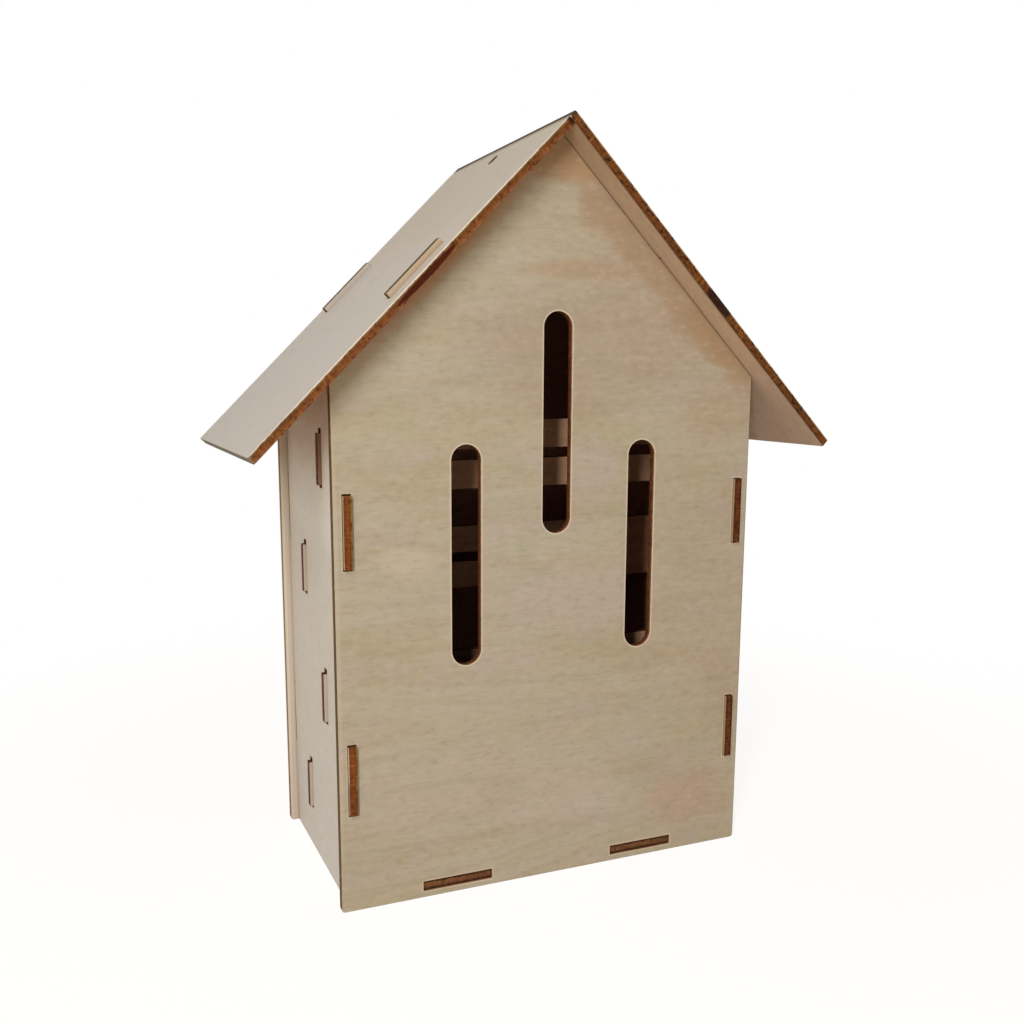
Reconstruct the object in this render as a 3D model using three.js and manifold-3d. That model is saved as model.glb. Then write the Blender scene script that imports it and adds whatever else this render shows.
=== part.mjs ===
// A laser-cut plywood bat box, put together from flat pieces with tabs in slots.
// Millimetres, +Z up, the entrance side towards -Y, the origin on the ground under the middle.
import * as THREE from 'three';
import { mergeVertices } from 'three/addons/utils/BufferGeometryUtils.js';
import Module from 'manifold-3d';

const wasm = await Module();
wasm.setup();

// Sheet and fits.
const sheet = 2.7;              // thickness of every piece
const seatGap = 0.3;            // air between pieces that meet
const overrun = 1;              // how far a cutter passes a face, and a tab's root runs into its piece

// Box.
const bodyWidth = 150;          // front and back boards, edge to edge
const bodyDepth = 80;           // outer face of the front board to outer face of the back board
const eaveHeight = 170;         // ground to where the gable starts
const roofPitch = THREE.MathUtils.degToRad(45);
const boardCornerRadius = 1.2;  // lower corners of the front and back boards
const roundSegments = 6;        // half the steps of each arc

// Entrance slots, upright with round ends.
const entranceWidth = 10;
const entranceHeight = 71.3;
const sideEntranceSill = 78;    // ground to the lower end of the outer two
const middleEntranceSill = 119.5;
const entranceSpacing = 31.7;   // between neighbouring slots, centre to centre

// Side panels and their tabs through the front and back boards.
const sideInset = 3.15;         // side panel's outer face, in from the board's edge
const wallTabHeight = 22.8;
const lowerWallTabRise = 44.2;  // ground to the lower tab's middle
const upperWallTabDrop = 46.5;  // panel's top edge to the upper tab's middle
const wallTabReach = 1.2;       // how far a tab stands proud of the face
const wallSlotSideGap = 0.45;   // between a tab's faces and its slot
const wallSlotEndGap = 0.7;     // above and below a tab

// Base panel and its tabs into the front and back boards.
const baseRise = 2.5;           // ground to the panel's underside
const baseTabLength = 23.9;
const baseTabSpacing = 70;      // between the two tabs of one edge, centre to centre
const baseTabRecess = 0.5;      // tab's end, behind the board's outer face

// Roosting slats across the inside, in two staggered rows.
const slatHeight = 23.4;
const lowestSlatCentre = 24;
const topSlatDrop = 26;         // side panels' top edge to the top slat's centre
const slatCount = 4;
const slatRows = 2;
const slatTabHeight = 16.8;
const slatTabReach = 1.2;
const slatSlotSideGap = 0.35;
const slatSlotTopGap = 1.5;
const slatSlotBottomGap = 0.9;
const gripHeight = 3.4;         // claw slot along the slat
const gripMargin = 14.8;        // from the claw slot's end to the slat's end, without its tab

// Roof panels and the gable tabs that pass through them.
const gableOverhang = 10;       // roof past the front and back boards
const eaveOverhang = 34.7;      // roof past the boards' eave corners, along the slope
const roofCornerRadius = 0.8;
const gableTabLength = 23.8;
const gableTabCentre = 64;      // from the ridge, along the slope
const gableTabReach = 1.8;
const gableSlotGap = 0.4;
const cordHoleDiameter = 4.4;   // hole beside the ridge for a hanging cord
const cordHoleSetback = 5.4;    // from the left panel's upper edge to the hole's centre

// Worked out from the sizes above.
const halfWidth = bodyWidth / 2;
const gableApex = eaveHeight + halfWidth * Math.tan(roofPitch);
const gableLength = halfWidth / Math.cos(roofPitch);
const sideOuterX = halfWidth - sideInset;
const sideInnerX = sideOuterX - sheet;
const frontInnerY = -bodyDepth / 2 + sheet;
const backInnerY = bodyDepth / 2 - sheet;
const chamberDepth = (backInnerY - frontInnerY - slatRows * sheet) / (slatRows + 1);
const slatEndX = sideInnerX - seatGap;
const roofSlope = gableLength + eaveOverhang;
const roofDepth = bodyDepth + 2 * gableOverhang;
const slatRise = (eaveHeight - topSlatDrop - lowestSlatCentre) / (slatCount - 1);
const wallTabCentres = [lowerWallTabRise, eaveHeight - upperWallTabDrop];
const baseTabCentres = [-baseTabSpacing / 2, baseTabSpacing / 2];

// Finishes.
const veneer = { color: 0xb2a087, roughness: 0.7, metalness: 0 };
const paleVeneer = { color: 0xc0b4a5, roughness: 0.7, metalness: 0 };
const innerVeneer = { color: 0xa08a6c, roughness: 0.75, metalness: 0 };

function polygon(corners) {
  return new THREE.Shape(corners.map(([x, y]) => new THREE.Vector2(x, y)));
}

function rectangle(left, bottom, right, top) {
  return polygon([[left, bottom], [right, bottom], [right, top], [left, top]]);
}

function roundedRectangle(left, bottom, right, top, radius) {
  const shape = new THREE.Shape();
  shape.absarc(left + radius, bottom + radius, radius, Math.PI, 3 * Math.PI / 2, false);
  shape.absarc(right - radius, bottom + radius, radius, -Math.PI / 2, 0, false);
  shape.absarc(right - radius, top - radius, radius, 0, Math.PI / 2, false);
  shape.absarc(left + radius, top - radius, radius, Math.PI / 2, Math.PI, false);
  return shape;
}

// An upright slot with round ends.
function uprightSlot(x, sill, width, height) {
  const radius = width / 2;
  const shape = new THREE.Shape();
  shape.absarc(x, sill + radius, radius, Math.PI, 2 * Math.PI, false);
  shape.absarc(x, sill + height - radius, radius, 0, Math.PI, false);
  return shape;
}

// A level slot with round ends, centred on the outline's origin.
function levelSlot(length, height) {
  const radius = height / 2;
  const shape = new THREE.Shape();
  shape.absarc(length / 2 - radius, 0, radius, -Math.PI / 2, Math.PI / 2, false);
  shape.absarc(radius - length / 2, 0, radius, Math.PI / 2, 3 * Math.PI / 2, false);
  return shape;
}

function roundHole(x, y, diameter) {
  return new THREE.Shape().absarc(x, y, diameter / 2, 0, 2 * Math.PI, false);
}

// The solid between two heights over a flat outline.
function solidOver(shape, bottom, top) {
  const options = { depth: top - bottom, bevelEnabled: false, curveSegments: roundSegments };
  const geometry = new THREE.ExtrudeGeometry(shape, options).translate(0, 0, bottom);
  geometry.deleteAttribute('normal');
  geometry.deleteAttribute('uv');
  const merged = mergeVertices(geometry);
  return new wasm.Manifold(new wasm.Mesh({
    numProp: 3,
    vertProperties: new Float32Array(merged.attributes.position.array),
    triVerts: new Uint32Array(merged.index.array),
  }));
}

function meshOf(name, solid, finish) {
  const { vertProperties, triVerts } = solid.getMesh();
  const indexed = new THREE.BufferGeometry();
  indexed.setAttribute('position', new THREE.BufferAttribute(vertProperties, 3));
  indexed.setIndex(new THREE.BufferAttribute(triVerts, 1));
  const geometry = indexed.toNonIndexed();
  geometry.computeVertexNormals();
  const mesh = new THREE.Mesh(geometry, new THREE.MeshStandardMaterial(finish));
  mesh.name = name;
  return mesh;
}

// One piece of the sheet: the outlines joined together, less the cut-outs.
function cutPiece(name, outlines, cutouts, finish) {
  const [first, ...others] = outlines.map((shape) => solidOver(shape, 0, sheet));
  const blank = others.reduce((whole, solid) => whole.add(solid), first);
  const cutters = cutouts.map((shape) => solidOver(shape, -overrun, sheet + overrun));
  return meshOf(name, cutters.reduce((rest, cutter) => rest.subtract(cutter), blank), finish);
}

// Stands up a piece drawn in width and height, its rear face at the given depth.
function standAcross(piece, rearFaceY) {
  piece.rotation.x = Math.PI / 2;
  piece.position.y = rearFaceY;
  return piece;
}

// Corners of one gable tab on the right-hand slope.
function gableTabCorners() {
  const along = new THREE.Vector2(Math.cos(roofPitch), -Math.sin(roofPitch));
  const outward = new THREE.Vector2(Math.sin(roofPitch), Math.cos(roofPitch));
  const corner = (distance, lift) => [
    along.x * distance + outward.x * lift,
    gableApex + along.y * distance + outward.y * lift,
  ];
  const upper = gableTabCentre - gableTabLength / 2;
  const lower = gableTabCentre + gableTabLength / 2;
  const tip = seatGap + sheet + gableTabReach;
  return [corner(lower, -overrun), corner(lower, tip), corner(upper, tip), corner(upper, -overrun)];
}

// The house shape and its gable tabs, which the front and back boards share.
function gabledOutlines() {
  const radius = boardCornerRadius;
  const house = new THREE.Shape();
  house.absarc(radius - halfWidth, radius, radius, Math.PI, 3 * Math.PI / 2, false);
  house.absarc(halfWidth - radius, radius, radius, -Math.PI / 2, 0, false);
  house.lineTo(halfWidth, eaveHeight);
  house.lineTo(0, gableApex);
  house.lineTo(-halfWidth, eaveHeight);
  const rightTab = gableTabCorners();
  const leftTab = rightTab.map(([x, z]) => [-x, z]).reverse();
  return [house, polygon(rightTab), polygon(leftTab)];
}

// Slots for the side panels' and the base panel's tabs.
function wallSlots() {
  const slots = [];
  const across = sheet / 2 + wallSlotSideGap;
  const up = wallTabHeight / 2 + wallSlotEndGap;
  for (const x of [sheet / 2 - sideOuterX, sideOuterX - sheet / 2]) {
    for (const z of wallTabCentres) slots.push(rectangle(x - across, z - up, x + across, z + up));
  }
  const half = baseTabLength / 2 + seatGap;
  for (const x of baseTabCentres) {
    slots.push(rectangle(x - half, baseRise - seatGap, x + half, baseRise + sheet + seatGap));
  }
  return slots;
}

function frontBoard() {
  const entrances = [
    uprightSlot(-entranceSpacing, sideEntranceSill, entranceWidth, entranceHeight),
    uprightSlot(0, middleEntranceSill, entranceWidth, entranceHeight),
    uprightSlot(entranceSpacing, sideEntranceSill, entranceWidth, entranceHeight),
  ];
  const board = cutPiece('front_board', gabledOutlines(), [...wallSlots(), ...entrances], veneer);
  return standAcross(board, frontInnerY);
}

function backBoard() {
  return standAcross(cutPiece('back_board', gabledOutlines(), wallSlots(), veneer), bodyDepth / 2);
}

// The slats from the lowest up, the rear row and the front row taking turns.
function slatPlaces() {
  const frontRow = frontInnerY + chamberDepth;
  const rearRow = backInnerY - chamberDepth - sheet;
  return Array.from({ length: slatCount }, (_, index) => ({
    y: index % 2 ? frontRow : rearRow,
    z: lowestSlatCentre + index * slatRise,
  }));
}

// Drawn in depth and height, with two tabs to the front, two to the back and a slot for each slat.
function sidePanel(name, innerX) {
  const panel = rectangle(frontInnerY + seatGap, 0, backInnerY - seatGap, eaveHeight);
  const reach = bodyDepth / 2 + wallTabReach;
  const tabs = wallTabCentres.flatMap((z) => {
    const bottom = z - wallTabHeight / 2;
    const top = z + wallTabHeight / 2;
    return [
      rectangle(-reach, bottom, frontInnerY + seatGap + overrun, top),
      rectangle(backInnerY - seatGap - overrun, bottom, reach, top),
    ];
  });
  const slots = slatPlaces().map(({ y, z }) => rectangle(
    y - slatSlotSideGap,
    z - slatTabHeight / 2 - slatSlotBottomGap,
    y + sheet + slatSlotSideGap,
    z + slatTabHeight / 2 + slatSlotTopGap,
  ));
  const piece = cutPiece(name, [panel, ...tabs], slots, paleVeneer);
  const depthAxis = new THREE.Vector3(0, 1, 0);
  const heightAxis = new THREE.Vector3(0, 0, 1);
  const widthAxis = new THREE.Vector3(1, 0, 0);
  piece.quaternion.setFromRotationMatrix(new THREE.Matrix4().makeBasis(depthAxis, heightAxis, widthAxis));
  piece.position.x = innerX < 0 ? innerX - sheet : innerX;
  return piece;
}

function basePanel() {
  const side = sideInnerX - seatGap;
  const front = frontInnerY + seatGap;
  const back = backInnerY - seatGap;
  const reach = bodyDepth / 2 - baseTabRecess;
  const half = baseTabLength / 2;
  const tabs = baseTabCentres.flatMap((x) => [
    rectangle(x - half, -reach, x + half, front + overrun),
    rectangle(x - half, back - overrun, x + half, reach),
  ]);
  const piece = cutPiece('base_panel', [rectangle(-side, front, side, back), ...tabs], [], veneer);
  piece.position.z = baseRise;
  return piece;
}

// A slat with a tab at each end and a long claw slot.
function roostSlat(name, { y, z }) {
  const tip = sideOuterX + slatTabReach;
  const bar = rectangle(-slatEndX, -slatHeight / 2, slatEndX, slatHeight / 2);
  const tongue = rectangle(-tip, -slatTabHeight / 2, tip, slatTabHeight / 2);
  const clawSlot = levelSlot(2 * (slatEndX - gripMargin), gripHeight);
  const piece = cutPiece(name, [bar, tongue], [clawSlot], innerVeneer);
  piece.position.z = z;
  return standAcross(piece, y + sheet);
}

// Drawn down the slope and across the depth, the underside lowest.
function roofPanel(name, upperEnd, cordHoleRun) {
  const side = roofDepth / 2;
  const panel = roundedRectangle(upperEnd, -side, roofSlope, side, roofCornerRadius);
  const upper = gableTabCentre - gableTabLength / 2 - gableSlotGap;
  const lower = gableTabCentre + gableTabLength / 2 + gableSlotGap;
  const across = sheet / 2 + gableSlotGap;
  const slots = [(sheet - bodyDepth) / 2, (bodyDepth - sheet) / 2].map(
    (y) => rectangle(upper, y - across, lower, y + across),
  );
  const cordHole = roundHole(cordHoleRun, 0, cordHoleDiameter);
  return cutPiece(name, [panel], [...slots, cordHole], paleVeneer);
}

// Both slopes start at the ridge line, and the right panel runs on over the left one's upper end.
function roof() {
  const ridgeAngle = 2 * roofPitch;
  const leftStart = seatGap / Math.sin(ridgeAngle) + Math.max(0, sheet / Math.tan(ridgeAngle));
  const rightStart = -sheet / Math.sin(ridgeAngle);
  const cordHoleRun = leftStart + cordHoleSetback;
  const ridge = new THREE.Group();
  ridge.position.z = gableApex + seatGap / Math.cos(roofPitch);
  const slopes = [['roof_panel_left', leftStart, Math.PI], ['roof_panel_right', rightStart, 0]];
  for (const [name, upperEnd, turn] of slopes) {
    const slope = new THREE.Group();
    const panel = roofPanel(name, upperEnd, cordHoleRun);
    panel.rotation.y = roofPitch;
    slope.rotation.z = turn;
    slope.add(panel);
    ridge.add(slope);
  }
  return ridge;
}

const batBox = new THREE.Group();
batBox.add(frontBoard(), backBoard());
batBox.add(sidePanel('left_side_panel', -sideInnerX), sidePanel('right_side_panel', sideInnerX));
batBox.add(basePanel());
slatPlaces().forEach((place, index) => batBox.add(roostSlat(`roost_slat_${index + 1}`, place)));
batBox.add(roof());

export default batBox;
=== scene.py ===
"""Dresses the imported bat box: eleven laser-cut plywood sheets that hold each other with tabs in slots.

Lengths in the classes are in millimetres and colours are sRGB hex. Each sheet is cut lying flat on a bench,
with its outer face up at z = 0 and its thickness below, and is then turned up into its place. A finish reads
the same bench plane, so its grain and its burnt plies follow the sheet wherever it stands.
"""

import logging
import math
from collections.abc import Callable, Iterator, Sequence
from contextlib import contextmanager
from dataclasses import dataclass, replace
from enum import Enum
from functools import partial
from typing import Any

import bmesh
import bpy
from mathutils import Euler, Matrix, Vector


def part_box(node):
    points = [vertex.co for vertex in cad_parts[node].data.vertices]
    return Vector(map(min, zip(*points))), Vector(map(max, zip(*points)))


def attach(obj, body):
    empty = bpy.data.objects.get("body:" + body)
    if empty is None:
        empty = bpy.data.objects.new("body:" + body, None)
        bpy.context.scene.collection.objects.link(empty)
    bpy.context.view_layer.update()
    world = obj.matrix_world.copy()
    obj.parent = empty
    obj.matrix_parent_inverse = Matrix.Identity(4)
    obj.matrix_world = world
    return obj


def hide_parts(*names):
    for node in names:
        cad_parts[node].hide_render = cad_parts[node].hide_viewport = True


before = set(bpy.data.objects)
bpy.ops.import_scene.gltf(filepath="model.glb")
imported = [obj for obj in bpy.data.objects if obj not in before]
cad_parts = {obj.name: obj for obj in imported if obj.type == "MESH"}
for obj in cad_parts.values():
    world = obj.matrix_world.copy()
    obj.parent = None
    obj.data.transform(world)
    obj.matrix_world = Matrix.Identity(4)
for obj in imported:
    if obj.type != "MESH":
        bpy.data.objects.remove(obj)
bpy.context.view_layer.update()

LOG = logging.getLogger("bat_box")
MM = 0.001            # metres in a millimetre
HAIR = 1e-6           # distance in metres below which two places are the same one
NEAR = 1e-5           # distance in metres within which an operator puts a point where it is meant to be
ALIGNED = 0.999       # cosine above which two directions count as one
BEYOND = 1e4          # millimetres that reach past everything in the scene
PLY = 2.7             # millimetres that plywood sold as 3 measures
HALF_ROOM = 37.0      # millimetres from the middle to the ends of what stands between the gable boards
WALL_TABS_Z = ((32.8, 55.6), (112.1, 134.9))    # lower and upper sides of the walls' tabs
SLATS_Z = (24.0, 64.0, 104.0, 144.0)            # middles of the slats
WOOD_IOR = 1.45
SKIN_SEED_STEP = 25   # how far the noise moves from one face of a sheet to the next
Point = tuple[float, float]
Place = tuple[float, float, float]
Piece = bpy.types.Object
Tree = bpy.types.NodeTree
Node = bpy.types.Node
Socket = bpy.types.NodeSocket
Material = bpy.types.Material


class Facing(Enum):
    """Way a sheet's outer face looks, as its turn from the bench in degrees about X, Y and Z."""

    FRONT = (90, 0, 0)
    BACK = (90, 0, 180)
    LEFT = (90, 0, -90)
    RIGHT = (90, 0, 90)
    DOWN = (180, 0, 0)
    LEFT_SLOPE = (0, -45, 0)
    RIGHT_SLOPE = (0, 45, 0)


class Slot(Enum):
    """The record's material slots."""

    BOARD = "board_plywood"
    SIDE = "side_plywood"
    ROOF = "roof_plywood"
    SLAT = "slat_plywood"


class Pick(Enum):
    """Kind of mesh element that is picked in edit mode."""

    VERT = "verts"
    EDGE = "edges"
    FACE = "faces"


class Skin(Enum):
    """Place of each finish in a piece's list of materials."""

    OUTER = 0
    INNER = 1
    EDGE = 2


@dataclass(frozen=True)
class Seat:
    """Where a sheet goes: the way its outer face looks, and where the bench's origin lands."""

    facing: Facing
    origin: Place

    @property
    def turn(self) -> Euler:
        """The sheet's turn from the bench, in radians."""
        return Euler([math.radians(angle) for angle in self.facing.value])


def linear(colour: str) -> tuple[float, ...]:
    """Turns an sRGB hex colour into Blender's linear red, green and blue, with an alpha of 1."""
    parts = (int(colour[i:i + 2], 16) / 255 for i in (1, 3, 5))
    return *(c / 12.92 if c <= 0.04045 else ((c + 0.055) / 1.055) ** 2.4 for c in parts), 1.0


def add_node(tree: Tree, kind: str, inputs: dict[str | int, Any] | None = None, **settings: Any) -> Node:
    """Adds a shader node with its settings and links.

    Args:
        tree: the node tree it goes into.
        kind: the node's type, without its ShaderNode prefix.
        inputs: what goes into its sockets, by name or number: a value, another node's socket, or a node,
            which gives its first one.
        settings: its properties by name.

    Returns:
        The new node.
    """
    node = tree.nodes.new("ShaderNode" + kind)
    for name, value in settings.items():
        setattr(node, name, value)
    for name, value in (inputs or {}).items():
        if isinstance(value, (Node, Socket)):
            tree.links.new(value if isinstance(value, Socket) else value.outputs[0], node.inputs[name])
        else:
            node.inputs[name].default_value = value
    return node


def new_material(name: str) -> tuple[Material, Tree]:
    """Makes an empty node material.

    Args:
        name: the material's name.

    Returns:
        The material and its node tree.
    """
    material = bpy.data.materials.new(name)
    material.use_nodes = True
    material.node_tree.nodes.clear()
    return material, material.node_tree


def activate(*pieces: Piece) -> None:
    """Selects these objects alone and makes the first the active one.

    Args:
        pieces: the objects, the one to work on first.
    """
    bpy.ops.object.select_all(action="DESELECT")
    for piece in pieces:
        piece.select_set(True)
    bpy.context.view_layer.objects.active = pieces[0]


@contextmanager
def editing(piece: Piece) -> Iterator[None]:
    """Keeps a piece in edit mode, with all of it selected at first.

    Args:
        piece: the object to edit.
    """
    activate(piece)
    bpy.ops.object.mode_set(mode="EDIT")
    bpy.ops.mesh.select_all(action="SELECT")
    yield
    bpy.ops.object.mode_set(mode="OBJECT")


def pick(piece: Piece, kind: Pick, test: Callable[[Any], bool]) -> int:
    """Selects, in edit mode, the elements of one kind that pass a test.

    Args:
        piece: the object.
        kind: the kind of element.
        test: says whether an element is wanted.

    Returns:
        How many are.
    """
    bpy.ops.mesh.select_mode(type=kind.name)
    bpy.ops.mesh.select_all(action="DESELECT")
    mesh = bmesh.from_edit_mesh(piece.data)
    mesh.normal_update()
    wanted = [element for element in getattr(mesh, kind.value) if test(element)]
    for element in wanted:
        element.select_set(True)
    mesh.select_flush_mode()
    bmesh.update_edit_mesh(piece.data)
    return len(wanted)


@dataclass(frozen=True)
class Hole:
    """A slot cut square through a sheet."""

    low: Point             # lower left corner
    high: Point            # upper right corner
    rounded: bool = False  # whether its ends are half circles


@dataclass
class PlySheet:
    """One flat sheet on the bench, cut to its outline by operators."""

    name: str                   # the finished piece's name
    low: Point                  # the blank's lower left corner
    high: Point                 # its upper right corner
    thickness: float = PLY
    arris: float = 0.12         # width of the fine bevel that sanding leaves along every cut edge
    arris_angle: float = 30.0   # least turn in degrees of an edge that gets one
    arris_steps: int = 2        # its segments
    smooth_angle: float = 20.0  # most that an edge turns, in degrees, and is shaded smooth
    flat_angle: float = 0.1     # most that two faces turn, in degrees, and become one
    overcut: float = 1.0        # how far a cutter stands out of both faces
    end_steps: int = 64         # sides of the round cutter
    corner_steps: int = 12      # segments of a rounded corner
    piece: Piece | None = None  # the object, or nothing to lay down a new blank

    def __post_init__(self) -> None:
        """Lays the blank on the bench, unless the sheet is a copy that is there already."""
        self.piece = self.piece or self._box(self.low, self.high, -self.thickness, 0.0)
        self.piece.name = self.piece.data.name = self.name

    def copy(self, name: str, other_hand: bool = False) -> "PlySheet":
        """Copies the sheet as it is now, with its own mesh.

        Args:
            name: the copy's name.
            other_hand: whether the copy is the sheet's mirror image, left for right.

        Returns:
            The copy, in the same place.
        """
        activate(self.piece)
        bpy.ops.object.duplicate(linked=False)
        twin = bpy.context.active_object
        if other_hand:
            twin.scale.x = -1
            bpy.ops.object.transform_apply()
            with editing(twin):
                bpy.ops.mesh.normals_make_consistent(inside=False)
        return replace(self, name=name, piece=twin)

    @staticmethod
    def _box(low: Point, high: Point, bottom: float, top: float) -> Piece:
        """Adds a box, with its place applied to its mesh.

        Args:
            low: its lower left corner.
            high: its upper right corner.
            bottom: its lowest height.
            top: its highest height.

        Returns:
            The box.
        """
        bpy.ops.object.select_all(action="DESELECT")
        size = (high[0] - low[0], high[1] - low[1], top - bottom)
        centre = ((high[0] + low[0]) / 2, (high[1] + low[1]) / 2, (top + bottom) / 2)
        bpy.ops.mesh.primitive_cube_add(
            size=1, location=[MM * v for v in centre], scale=[MM * v for v in size])
        bpy.ops.object.transform_apply()
        return bpy.context.active_object

    def saw_off(self, point: Point, outward: Point) -> None:
        """Saws the sheet along a line, and drops one side.

        Args:
            point: a point of the line.
            outward: the way square to it, towards the side that is dropped.
        """
        with editing(self.piece):
            bpy.ops.mesh.bisect(plane_co=(point[0] * MM, point[1] * MM, 0), plane_no=(*outward, 0),
                                use_fill=True, clear_outer=True, threshold=HAIR)

    def pull_tab(self, start: Point, end: Point, reach: float) -> None:
        """Scores the sheet at a tab's two ends and draws the tab out of the edge between them.

        Args:
            start: the tab's first root; the outside is on the left on the way to the end.
            end: its other root.
            reach: how far it stands out of the edge.
        """
        root, tip = Vector(start) * MM, Vector(end) * MM
        along = (tip - root).normalized()
        out = Vector((-along.y, along.x, 0))

        def on_tab(face: bmesh.types.BMFace) -> bool:
            """Whether a face is the stretch of edge between the tab's roots."""
            offset = face.calc_center_median().xy - root
            return (face.normal.dot(out) > ALIGNED and abs(offset.dot(out.xy)) < NEAR
                    and 0 < offset.dot(along) < (tip - root).length)

        with editing(self.piece):
            for place in (root, tip):
                bpy.ops.mesh.select_all(action="SELECT")
                bpy.ops.mesh.bisect(plane_co=(*place, 0), plane_no=(*along, 0), threshold=HAIR)
            if pick(self.piece, Pick.FACE, on_tab) != 1:
                raise ValueError(f"{self.name}: no edge for a tab at {start}")
            bpy.ops.mesh.extrude_region_move(TRANSFORM_OT_translate={"value": out * reach * MM})

    def clean_faces(self) -> None:
        """Takes the scored lines out of the flat faces."""
        with editing(self.piece):
            bpy.ops.mesh.dissolve_limited(angle_limit=math.radians(self.flat_angle))

    def round_corners(self, corners: Sequence[Point], radius: float) -> None:
        """Rounds the sheet's corners at some points.

        Args:
            corners: the corners' places.
            radius: radius of the rounding.
        """
        places = [Vector(corner) * MM for corner in corners]

        def upright(edge: bmesh.types.BMEdge) -> bool:
            """Whether an edge goes through the sheet at one of the corners."""
            spot = (edge.verts[0].co + edge.verts[1].co) / 2
            return abs(spot.z + self.thickness / 2 * MM) < HAIR and any(
                (spot.xy - place).length < NEAR for place in places)

        with editing(self.piece):
            if pick(self.piece, Pick.EDGE, upright) != len(places):
                raise ValueError(f"{self.name}: a corner to round is missing")
            bpy.ops.mesh.bevel(offset=radius * MM, segments=self.corner_steps, affect="EDGES")

    def _cutter(self, hole: Hole) -> Piece:
        """Makes the solid that a hole is cut with.

        Args:
            hole: the hole.

        Returns:
            A box, or a drum drawn out to a bar with round ends.
        """
        bottom, top = -self.thickness - self.overcut, self.overcut
        if not hole.rounded:
            return self._box(hole.low, hole.high, bottom, top)
        centre = [(low + high) / 2 for low, high in zip(hole.low, hole.high)]
        size = [high - low for low, high in zip(hole.low, hole.high)]
        # Turned half a step, so the seam between the halves runs between two points of the drum.
        half_step = math.pi / self.end_steps
        bpy.ops.object.select_all(action="DESELECT")
        bpy.ops.mesh.primitive_cylinder_add(
            vertices=self.end_steps, radius=min(size) / 2 / math.cos(half_step) * MM,
            depth=(top - bottom) * MM, location=[MM * v for v in (*centre, (top + bottom) / 2)],
            rotation=(0, 0, half_step))
        bpy.ops.object.transform_apply()
        cutter = bpy.context.active_object
        axis = size.index(max(size))
        stretch = (max(size) - min(size)) / 2 * MM
        with editing(cutter):
            for side in (-1, 1):
                pick(cutter, Pick.VERT, lambda vert: (vert.co[axis] - centre[axis] * MM) * side > 0)
                move = [0.0, 0.0, 0.0]
                move[axis] = side * stretch
                bpy.ops.transform.translate(value=move)
        return cutter

    def cut(self, holes: Sequence[Hole]) -> None:
        """Cuts holes through the sheet.

        Args:
            holes: the holes, none of which meets another.
        """
        cutters = [self._cutter(hole) for hole in holes]
        activate(*cutters)
        if len(cutters) > 1:
            bpy.ops.object.join()
        saw = bpy.context.active_object
        activate(self.piece)
        boolean = self.piece.modifiers.new("holes", "BOOLEAN")
        boolean.operation, boolean.solver, boolean.object = "DIFFERENCE", "EXACT", saw
        bpy.ops.object.modifier_apply(modifier=boolean.name)
        bpy.data.objects.remove(saw)

    def sand(self) -> None:
        """Breaks the sharp edges with a fine bevel, and smooths the round ends of slots and corners."""
        activate(self.piece)
        bevel = self.piece.modifiers.new("arris", "BEVEL")
        bevel.width, bevel.segments = self.arris * MM, self.arris_steps
        bevel.limit_method, bevel.angle_limit = "ANGLE", math.radians(self.arris_angle)
        bpy.ops.object.modifier_apply(modifier=bevel.name)
        bpy.ops.object.shade_smooth_by_angle(angle=math.radians(self.smooth_angle))

    def dress(self, finishes: Sequence[Material]) -> None:
        """Gives the outer face, the inner face and the cut edges their materials.

        Args:
            finishes: the materials, in the order of the skins.
        """
        self.piece.data.materials.clear()
        for finish in finishes:
            self.piece.data.materials.append(finish)
        tests = (lambda face: face.normal.z > ALIGNED, lambda face: face.normal.z < -ALIGNED,
                 lambda face: abs(face.normal.z) <= ALIGNED)
        with editing(self.piece):
            for skin, test in zip(Skin, tests):
                pick(self.piece, Pick.FACE, test)
                self.piece.active_material_index = skin.value
                bpy.ops.object.material_slot_assign()


@dataclass(frozen=True)
class Pattern:
    """A field of noise over the sheet."""

    length: float            # size of its blobs along the grain
    width: float             # size across the grain
    depth: float = 1000.0    # size through the sheet
    detail: float = 2.0      # finer octaves
    distortion: float = 0.0  # how much it swirls
    rings: float = 0.0       # contour lines that its height is cut into, or none for the plain noise
    roughness: float = 0.55  # strength of each finer octave beside the one before


@dataclass(frozen=True)
class Tint:
    """A colour laid over the wood where a pattern is strong."""

    pattern: str   # the pattern's name
    low: float     # pattern value where the tint starts
    high: float    # pattern value where it is full
    amount: float  # how much of it shows there
    colour: str


@dataclass(frozen=True)
class Spot:
    """A soft-edged oval of another colour at one place of a sheet."""

    centre: Point
    radii: Point          # half its length and half its width
    colour: str
    amount: float = 1.0   # how much of it shows in the middle
    turn: float = 0.0     # its turn on the bench, in degrees
    core: float = 0.4     # share of its radius over which it is full
    height: float = 0.0   # its middle's height above the outer face
    rise: float = BEYOND  # half its height; the usual one takes in the whole thickness


@dataclass(frozen=True)
class Rim:
    """A thin pale line round a slot: a painted highlight that stands for the light on the slot's arris."""

    centre: Point        # the slot's middle, on the side where X and Y count as positive
    half: Point          # the slot's half sizes, less the radius of its ends
    radius: float = 0.0  # that radius; 0 makes square ends
    reach: float = 0.8   # how far out the line has faded
    amount: float = 0.9  # how much of its colour shows at the slot
    colour: str = "#E2D5C0"


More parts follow.
